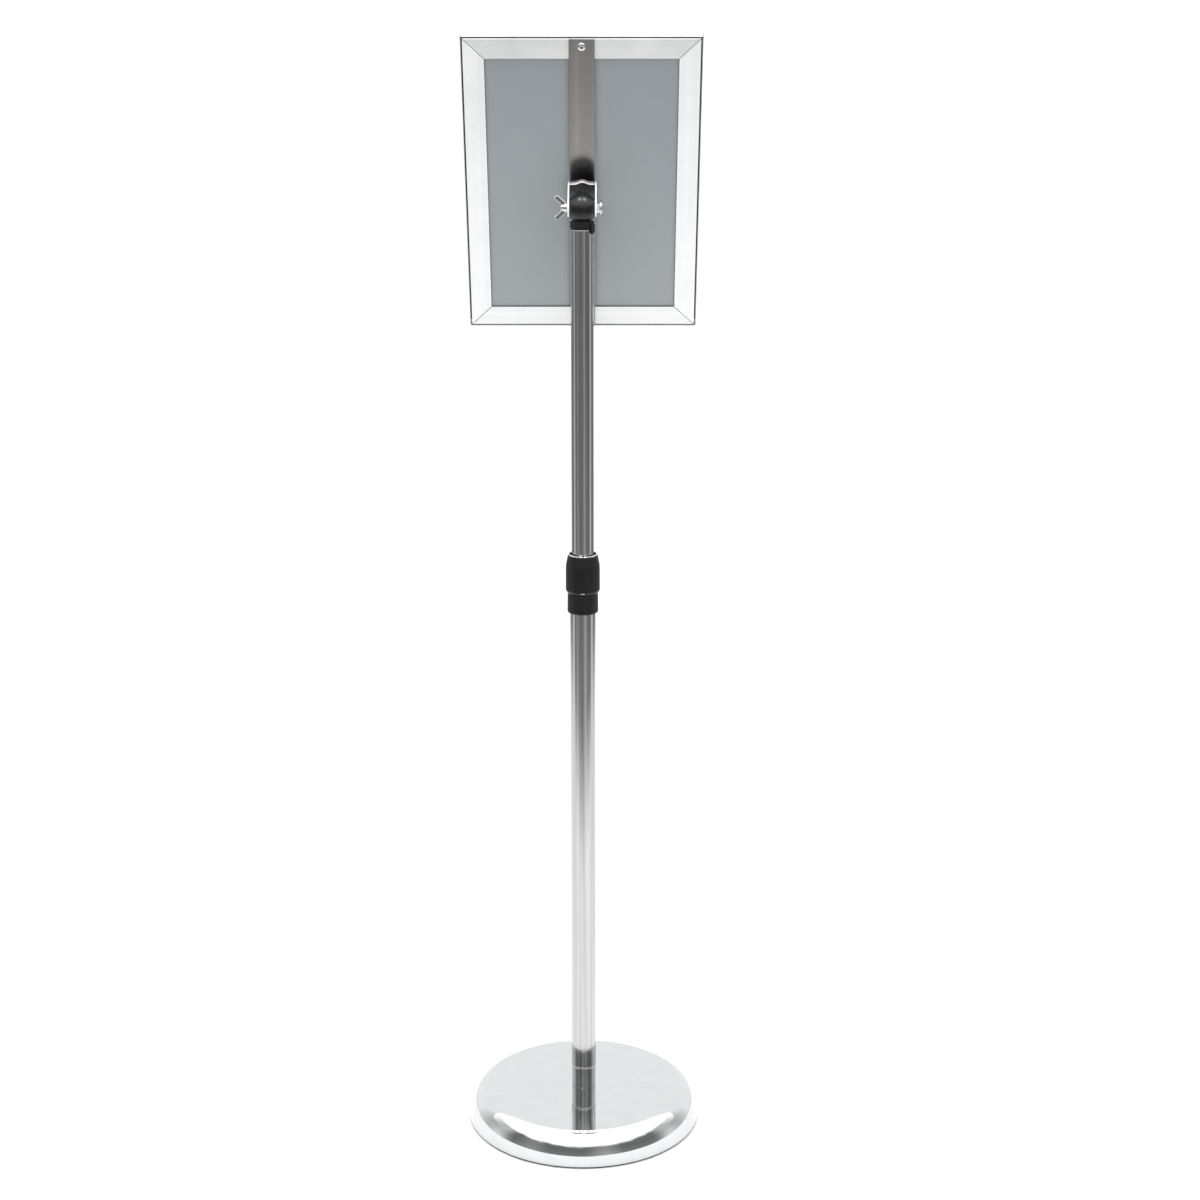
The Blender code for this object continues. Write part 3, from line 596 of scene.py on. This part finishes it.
def build_lock():
    low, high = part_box("lock_body")
    radius = high.x
    neck = radius - 1.5 * MM
    bore = radius_of("lower_tube") + GAP
    shelf = top_of("lower_tube") + GAP
    running = radius_of("upper_tube") + 0.0004
    split = foot_of("lock_sleeve") - 0.0006
    body = [
        (running, high.z, 0),
        (neck, high.z, 0.0003),
        (neck, split, 0),
        (radius - 0.0002, split, 0.0022),
        (radius, low.z + 0.0034, 0.0004),
        (radius, low.z, 0.0016),
        (bore, low.z, 0.0003),
        (bore, shelf, 0),
        (running, shelf, 0),
    ]
    finish_piece("lock_base", lathe_mesh(rounded(body), 144, ring=True), "lock_body")

    low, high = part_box("lock_sleeve")
    full = high.x
    mouth = radius_of("lock_ring")
    room = neck + GAP
    sleeve = [
        (running, high.z - 0.0015, 0),
        (mouth - 0.0020, high.z - 0.0015, 0.0002),
        (mouth - 0.0018, high.z, 0.0002),
        (mouth, high.z, 0.0003),
        (full - 0.0003, high.z - 0.0102, 0.006),
        (full, high.z - 0.0165, 0.004),
        (full, low.z + 0.0032, 0.0016),
        (radius + 0.0001, low.z, 0.0004),
        (room, low.z, 0),
        (room, high.z - 0.0065, 0),
        (running, high.z - 0.0045, 0),
    ]
    profile = rounded(sleeve, 7)
    flats = grip(low.z, high.z, radius)
    mesh = lathe_mesh(with_rings(profile, full, 10), 256, ring=True, wobble=flats)
    finish_piece("lock_grip", mesh, "lock_sleeve", sharp=45)
    mark = bmesh.new()
    bmesh.ops.create_cube(mark, size=1, matrix=Matrix.Diagonal((0.0040, 0.0008, 0.0009, 1)))
    soften(mark, list(mark.edges), 0.0002)
    place = Matrix.Translation((0, full - 0.0008, low.z + 0.0022))
    finish_piece("lock_index", mesh_of(mark), "lock_sleeve", place, PALE_MARK)

    low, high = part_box("lock_ring")
    ring = [
        (mouth - 0.0016, high.z, 0.0004),
        (mouth, high.z, 0.0005),
        (mouth, low.z, 0.0001),
        (mouth - 0.0016, low.z, 0.0001),
    ]
    finish_piece("lock_rim", lathe_mesh(rounded(ring), 144, ring=True), "lock_ring")


# ---------------------------------------------------------------- head


TONGUE_THICKNESS = 1.6 * MM
TONGUE_BEARING = math.radians(147)


def build_cap():
    low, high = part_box("pole_cap")
    radius = high.x
    seat = top_of("upper_tube") + GAP
    plug = radius_of("upper_tube") - 1.4 * MM
    bore = 6.3 * MM
    cap = [
        (bore, high.z, 0.0002),
        (radius - 0.0002, high.z, 0.0006),
        (radius - 0.0002, high.z - 0.0024, 0.0002),
        (radius - 0.0005, high.z - 0.0027, 0.0002),
        (radius - 0.0005, high.z - 0.0031, 0.0002),
        (radius, high.z - 0.0034, 0.0002),
        (radius, seat, 0.0005),
        (plug, seat, 0),
        (plug, low.z, 0.0008),
        (bore, low.z, 0),
    ]
    mesh = lathe_mesh(rounded(cap), 128, ring=True)
    outline = [(-0.0030, 0.0052), (0.0030, 0.0052), (0.0030, -0.0016), (-0.0004, -0.0052)]
    outline += [(-0.0030, -0.0034)]
    tongue = plate([(-TONGUE_THICKNESS / 2, y, z) for y, z in outline], (TONGUE_THICKNESS, 0, 0))
    soften(tongue, list(tongue.edges), 0.0003)
    bmesh.ops.recalc_face_normals(tongue, faces=tongue.faces)
    outward = radius_of("upper_tube") + GAP + 0.0009
    place = Matrix.Rotation(TONGUE_BEARING, 4, "Z") @ Matrix.Translation((outward, 0, seat))
    bmesh.ops.transform(tongue, matrix=place, verts=tongue.verts)
    finish_piece("top_cap", combined(mesh, mesh_of(tongue), "UNION"), "pole_cap")


SPIGOT_RADIUS = 6.0 * MM
TILT_BORE = 3.3 * MM
CHEEK_EDGE = 0.22 * MM


def build_ball():
    low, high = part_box("knuckle")
    centre = PIVOT.z
    radius = high.z - centre
    cheek = high.x
    neck = 9.5 * MM
    neck_foot = top_of("pole_cap") + GAP - centre
    turns = [math.radians(degrees) for degrees in range(90, -47, -4)]
    sphere = [(radius * math.cos(turn), radius * math.sin(turn)) for turn in turns]
    tail = [
        (*sphere[-1], 0),
        (neck, -0.0121, 0.0008),
        (neck, neck_foot, 0.0003),
        (SPIGOT_RADIUS, neck_foot, 0),
        (SPIGOT_RADIUS, low.z - centre, 0.0006),
        (0, low.z - centre, 0),
    ]
    mesh = lathe_mesh(sphere + rounded(tail)[1:], 160)
    for vertex in mesh.vertices:
        x = abs(vertex.co.x)
        if x > cheek - 12 * CHEEK_EDGE:
            # A soft minimum of the sphere and the cheek, so that their edge is rounded.
            near = math.exp(-x / CHEEK_EDGE) + math.exp(-cheek / CHEEK_EDGE)
            vertex.co.x = math.copysign(-CHEEK_EDGE * math.log(near), vertex.co.x)
    across = Matrix.Rotation(math.pi / 2, 4, "Y")
    mesh = combined(mesh, rod_mesh(TILT_BORE, 0.06, across), "DIFFERENCE")
    place = Matrix.Translation(PIVOT)
    finish_piece("tilt_ball", mesh, "knuckle", place, GLOSS_BLACK, sharp=40, weighted=False)


def build_bracket():
    """The yoke has painted shade inside, a dark copy of the zinc, and painted highlights on its upper edge,
    its rear edges and its outer cheeks.
    """
    mesh = refined_mesh("tilt_bracket", 0.00018, 40)
    finish_piece("tilt_yoke", mesh, "tilt_bracket", SIGN, ZINC_PAINTED_SHADE)
    mesh.materials.append(EDGE_PAINTED_HIGHLIGHT)
    # Upper, rear and outer faces get the painted highlight; the rest keeps the painted shade.
    for face in mesh.polygons:
        on_top = face.normal.z > 0.6
        on_rear = face.normal.y > 0.5 and abs(face.center.x) > 0.0125
        outside = abs(face.normal.x) > 0.9 and abs(face.center.x) > 0.0138
        if on_top or on_rear or outside:
            face.material_index = 1


def rivet_mesh(radius, dome, hole, tail):
    """A blind rivet's domed head with the broken mandrel in its middle, and its body down to the bulb."""
    crest, edge = hole * 1.15, 0.00035
    profile = [(0, 0.0009), (hole * 0.75, 0.0008), (hole * 0.9, 0.0004), (hole, dome * 0.95), (crest, dome)]
    for k in range(1, 9):
        turn = math.pi / 2 * k / 8
        profile.append((crest + (radius - crest) * math.sin(turn), edge + (dome - edge) * math.cos(turn)))
    profile += [(radius - 0.0001, 0.0), (0.0017, 0.0), (0.0017, -tail)]
    profile += [(0.0025, -tail - 0.0002), (0.0019, -tail - 0.0009), (0, -tail - 0.0009)]
    return lathe_mesh(profile, 64)


RIVET_HEIGHT = 1.7 * MM
MANDREL_HOLE = 1.2 * MM


def build_hardware():
    onto_back = Matrix.Rotation(-math.pi / 2, 4, "X")
    for node, dome in (
        ("strap_rivet_top", RIVET_HEIGHT),
        ("strap_rivet_bottom", RIVET_HEIGHT),
        ("bracket_rivet_left", 0.0015),
        ("bracket_rivet_right", 0.0015),
    ):
        low, high = sign_box(node)
        seat = high.y - RIVET_HEIGHT
        tail = seat - low.y - 0.0012
        place = SIGN @ Matrix.Translation(((low.x + high.x) / 2, seat, (low.z + high.z) / 2)) @ onto_back
        mesh = rivet_mesh((high.x - low.x) / 2, dome, MANDREL_HOLE, tail)
        finish_piece("blind_" + node, mesh, node, place)
        # Painted shade: the mandrel hole in the middle of each rivet head is coloured dark.
        mesh.materials.append(RECESS_PAINTED_SHADE)
        for face in mesh.polygons:
            if face.center.z > 0.0001 and face.center.xy.length < MANDREL_HOLE - 0.00002:
                face.material_index = 1

    low, high = sign_box("pivot_bolt")
    collar = sign_box("pivot_nut")[0].x
    head = (high.z - low.z) / 2
    near = collar - GAP - low.x
    shank = 0.003
    length = high.x - low.x
    bolt = [
        (0, 0.00018, 0),
        (0.0016, 0.00018, 0),
        (0.0019, 0.0, 0.0001),
        (0.45 * head, 0.00010, 0.0005),
        (0.82 * head, 0.0008, 0.0012),
        (head, near - 0.0009, 0.0006),
        (head, near, 0.0002),
        (shank, near, 0),
        (shank, length - 0.0006, 0.0001),
        (shank - 0.0006, length, 0.0001),
        (0, length, 0),
    ]
    onto_x = Matrix.Rotation(math.pi / 2, 4, "Y")
    place = SIGN @ Matrix.Translation((low.x, 0, 0)) @ onto_x
    finish_piece("pivot_screw", lathe_mesh(rounded(bolt), 96), "pivot_bolt", place)
    finish_piece("hex_collar", refined_mesh("pivot_nut", 0.0004, 50), "pivot_nut", SIGN)

    build_wing_nut(onto_x)


WING_LEAN = math.radians(45)


def blade(start, side):
    """One wing: a rounded plate in the plane of the tilt axis and the sign's height."""
    half, depth, tip = 0.0025, 0.0011, 0.0104
    turns = [math.radians(degrees) for degrees in range(-80, 81, 16)]
    outline = [(0, -half * 0.9), (0.004, -half)]
    outline += [(tip + half * math.cos(turn), half * math.sin(turn)) for turn in turns]
    outline += [(0.004, half), (0, half * 0.9)]
    along = Vector((math.cos(WING_LEAN), 0, side * math.sin(WING_LEAN)))
    across = Vector((-math.sin(WING_LEAN), 0, side * math.cos(WING_LEAN)))
    near = start - Vector((0, depth, 0))
    solid = plate([near + along * u + across * w for u, w in outline], (0, 2 * depth, 0))
    rims = [e for e in solid.edges if e.calc_face_angle(0) > 1.2]
    # The rounded rims get material 1, the painted highlight that outlines each wing.
    soften(solid, rims, 0.0005, material=1)
    bmesh.ops.recalc_face_normals(solid, faces=solid.faces)
    return mesh_of(solid)


def build_wing_nut(onto_x):
    seat = sign_box("wing_nut")[0].x
    bore, hub, long = 0.0032, 0.0050, 0.0062
    profile = [(bore, long, 0.0002), (hub - 0.0013, long, 0.0008)]
    profile += [(hub, 0.0014, 0.001), (hub, 0, 0.0003), (bore, 0, 0)]
    mesh = lathe_mesh(rounded(profile), 96, ring=True)
    mesh.transform(onto_x)
    finish_piece("wing_hub", mesh, "wing_nut", SIGN @ Matrix.Translation((seat, 0, 0)), sharp=40)
    for name, side in (("wing_upper", 1), ("wing_lower", -1)):
        start = Vector((seat + 0.0028, 0, side * 0.0037))
        mesh = blade(start, side)
        # Each wing is painted dark as shade, with painted highlights on its rims.
        finish_piece(name, mesh, "wing_nut", SIGN, ZINC_PAINTED_SHADE, sharp=40)
        mesh.materials.append(EDGE_PAINTED_HIGHLIGHT)


# ---------------------------------------------------------------- sign


END_PLAY = 0.25 * MM
FLANGE_EDGE = 0.8 * MM


def paint_flange_shadow(mesh, inward):
    """Paints shadow on the inner edge of a rail's flange, where it meets the backing: a dark line of painted
    shade.
    """
    mesh.materials.append(RECESS_PAINTED_SHADE)
    reach = max(v.co.dot(inward) for v in mesh.vertices)
    for face in mesh.polygons:
        if face.normal.dot(inward) > 0.7 and face.center.dot(inward) > reach - FLANGE_EDGE:
            face.material_index = 1


def build_sign():
    finish_piece("rear_strap", refined_mesh("back_strap", 0.00025, 60), "back_strap", SIGN)
    # The top and bottom rails take darker copies of the aluminium: painted shade.
    for side, material, inward in (
        ("bottom", ALUMINIUM_ACROSS_PAINTED_SHADE, (0, 0, 1)),
        ("top", ALUMINIUM_TOP_PAINTED_SHADE, (0, 0, -1)),
        ("left", MATERIALS["aluminium"], (1, 0, 0)),
        ("right", MATERIALS["aluminium"], (-1, 0, 0)),
    ):
        rail = refined_mesh(f"rail_{side}", 0.00012, 50)
        finish_piece(f"back_rail_{side}", rail, f"rail_{side}", SIGN, material, sharp=28)
        # Painted shadow along the flange's inner edge.
        paint_flange_shadow(rail, Vector(inward))
        cover = refined_mesh(f"snap_{side}", 0.00010, 60)
        # Each end stands back a little more, so that open covers clear each other's corners.
        along = 0 if inward[2] else 2
        reach = max(abs(v.co[along]) for v in cover.vertices)
        for vertex in cover.vertices:
            vertex.co[along] *= 1 - END_PLAY / reach
        cover_material = COVER_ALUMINIUM[abs(inward[0])]
        finish_piece(f"snap_cover_{side}", cover, f"snap_{side}", SIGN, cover_material, sharp=38)
    for name, node in (("backing", "back_panel"), ("cover_sheet", "clear_sheet")):
        finish_piece(name, refined_mesh(node, 0.0001, 60), node, SIGN)


# ---------------------------------------------------------------- stage, light and camera


def plain(name, colour, roughness):
    """A matt ground with hardly any pattern."""
    n = Nodes(name)
    here = n.place()
    cloud = n.noise(here, 0.6, 3.0)
    tone = n.mix(n.spread(cloud, 0, 1), tuple(c * 0.995 for c in colour), colour)
    return n.finish(tone, n.spread(cloud, roughness, roughness + 0.02), n.bump(n.noise(here, 40.0), 0.00005))


FLOOR_RADIUS = 80.0
FLOOR_COLOUR = (0.93, 0.93, 0.93)


def build_floor():
    solid = bmesh.new()
    bmesh.ops.create_circle(solid, cap_ends=True, segments=96, radius=FLOOR_RADIUS)
    mesh = mesh_of(solid, "floor")
    mesh.materials.append(plain("pale_floor", FLOOR_COLOUR, 0.9))
    in_scene("floor", mesh)


def reflected_only(obj):
    """A stage object that shows only in reflections."""
    obj.visible_camera = False
    obj.visible_diffuse = False
    obj.visible_shadow = False
    obj.visible_transmission = False
    obj.visible_volume_scatter = False


WALL_DISTANCE = 2.0
WALL_HEIGHT = 2.4
CLOTH_INNER = 0.5
CLOTH_RADIUS = 12.0
CLOTH_HEIGHT = 0.003
CEILING_HEIGHT = 3.0
CEILING_GLOW = 2.2
# Tall cards round the set: bearing in degrees from +Y towards -X, half the width, and the grey.
CARDS = ((-140, 20, 0.4), (-90, 20, 0.9), (-50, 20, 0.4), (20, 20, 0.5), (90, 20, 0.9), (150, 20, 0.4))
BETWEEN_CARDS = 0.25


def card_stops():
    """Each card's grey in its middle, and the grey between cards at its two edges."""
    stops = []
    for bearing, half, level in CARDS:
        stops += [(bearing - half, BETWEEN_CARDS), (bearing, level), (bearing + half, BETWEEN_CARDS)]
    return stops


def surroundings(name, near_level, far_level, wall):
    """Cards on a clear sheet. A wall fades at its top and ends, and a cloth fades towards the stand."""
    n = Nodes(name)
    here = n.place()
    x, y, z = n.split(here)
    turn = n.maths("ARCTAN2", n.maths("MULTIPLY", x, -1.0), y)
    ramp = n.add("ShaderNodeValToRGB")
    ramp.color_ramp.interpolation = "EASE"
    stops = card_stops()
    while len(ramp.color_ramp.elements) < len(stops):
        ramp.color_ramp.elements.new(0.5)
    for element, (bearing, level) in zip(ramp.color_ramp.elements, stops):
        element.position = bearing / 360 + 0.5
        element.color = (level, level, level, 1)
    n.link(n.maths("ADD", n.maths("DIVIDE", turn, 2 * math.pi), 0.5), ramp.inputs[0])
    flat = n.from_axis(x, y)
    ahead = n.maths("DIVIDE", y, flat)
    if wall:
        ragged = n.maths("MULTIPLY", n.noise(here, 2.2, 4.0, 0.6), 0.7)
        gain = n.spread(z, near_level, far_level, 0.0, 0.6)
        level = n.maths("ADD", n.maths("ADD", z, ragged), n.maths("MULTIPLY", ahead, 0.35))
        top = n.spread(level, 1.0, 0.0, 1.75, 2.15)
        cover = n.maths("MULTIPLY", top, n.spread(ahead, 0.0, 1.0, -0.60, -0.05))
    else:
        gain = n.spread(flat, near_level, far_level, 0.9, 2.0)
        start = n.maths("ADD", flat, n.maths("MULTIPLY", ahead, 0.45))
        cover = n.spread(start, 0.0, 1.0, 1.15, 1.75)
    grey = n.add("ShaderNodeEmission")
    n.link(ramp.outputs["Color"], grey.inputs["Color"])
    n.link(gain, grey.inputs["Strength"])
    clear = n.add("ShaderNodeBsdfTransparent")
    blend = n.add("ShaderNodeMixShader")
    n.link(cover, blend.inputs[0])
    n.link(clear.outputs[0], blend.inputs[1])
    n.link(grey.outputs[0], blend.inputs[2])
    n.link(blend.outputs[0], n.tree.nodes["Material Output"].inputs["Surface"])
    return n.material


def strip(name, inner, outer, material):
    """A band between two rings of (radius, height), seen only in the bright metal."""
    steps = 72
    verts = []
    for k in range(steps):
        turn = 2 * math.pi * k / steps
        for radius, height in (inner, outer):
            verts.append((-radius * math.sin(turn), radius * math.cos(turn), height))
    faces = [(2 * k, 2 * k + 1, (2 * k + 3) % (2 * steps), (2 * k + 2) % (2 * steps)) for k in range(steps)]
    mesh = bpy.data.meshes.new(name)
    mesh.from_pydata(verts, [], faces)
    mesh.materials.append(material)
    reflected_only(in_scene(name, mesh))


def build_surroundings():
    wall = surroundings("studio_wall", 1.15, 0.85, True)
    cloth = surroundings("studio_cloth", 2.0, 1.1, False)
    strip("wall", (WALL_DISTANCE, 0.0), (WALL_DISTANCE, WALL_HEIGHT), wall)
    strip("cloth", (CLOTH_INNER, CLOTH_HEIGHT), (CLOTH_RADIUS, CLOTH_HEIGHT), cloth)
    mesh = bpy.data.meshes.new("ceiling")
    corners = [(x, y, CEILING_HEIGHT) for x, y in ((-6.0, -2.3), (6.0, -2.3), (6.0, 4.5), (-6.0, 4.5))]
    mesh.from_pydata(corners, [], [(0, 1, 2, 3)])
    mesh.materials.append(glow("ceiling_glow", CEILING_GLOW))
    reflected_only(in_scene("ceiling", mesh))


def glow(name, level):
    material = bpy.data.materials.new(name)
    material.use_nodes = True
    tree = material.node_tree
    tree.nodes.clear()
    emission = tree.nodes.new("ShaderNodeEmission")
    emission.inputs["Color"].default_value = (1, 1, 1, 1)
    emission.inputs["Strength"].default_value = level
    output = tree.nodes.new("ShaderNodeOutputMaterial")
    tree.links.new(emission.outputs[0], output.inputs["Surface"])
    return material


SKY_STRENGTH = 1.22
LIGHT_SIZE = (0.40, 0.60)
LIGHT_POWER = 14
LIGHT_ASIDE, LIGHT_BEHIND, LIGHT_HEIGHT = 0.45, 0.70, 2.60


def build_lights():
    """Even white light all round, and two soft lights over the back of the sign."""
    scene = bpy.context.scene
    scene.view_settings.view_transform = "Standard"
    scene.view_settings.look = "None"
    world = bpy.data.worlds.new("studio")
    scene.world = world
    world.use_nodes = True
    background = world.node_tree.nodes["Background"]
    background.inputs["Color"].default_value = (1, 1, 1, 1)
    background.inputs["Strength"].default_value = SKY_STRENGTH
    for name, side in (("overhead_left", 1), ("overhead_right", -1)):
        light = bpy.data.lights.new(name, "AREA")
        light.shape = "RECTANGLE"
        light.size, light.size_y = LIGHT_SIZE
        light.energy = LIGHT_POWER
        in_scene(name, light).location = (side * LIGHT_ASIDE, LIGHT_BEHIND, LIGHT_HEIGHT)


CAMERA_PLACE = (-0.0181, 2.4080, 1.2814)
CAMERA_PITCH = math.radians(15.81)
CAMERA_LENS = 71.04


def build_camera():
    """Behind the sign, a little above it, looking down at the stand."""
    data = bpy.data.cameras.new("camera")
    data.sensor_width = 36
    data.lens = CAMERA_LENS
    data.clip_end = 500
    camera = in_scene("camera", data)
    camera.location = CAMERA_PLACE
    camera.rotation_euler = (math.pi / 2 - CAMERA_PITCH, 0, math.pi)
    bpy.context.scene.camera = camera


build_base()
build_pole()
build_lock()
build_cap()
build_ball()
build_bracket()
build_hardware()
build_sign()
for name, node in frame["nodes"].items():
    if not node.hide_render:
        node.data.materials.clear()
        node.data.materials.append(MATERIALS[SLOT_OF[name]])
build_floor()
build_surroundings()
build_lights()
build_camera()
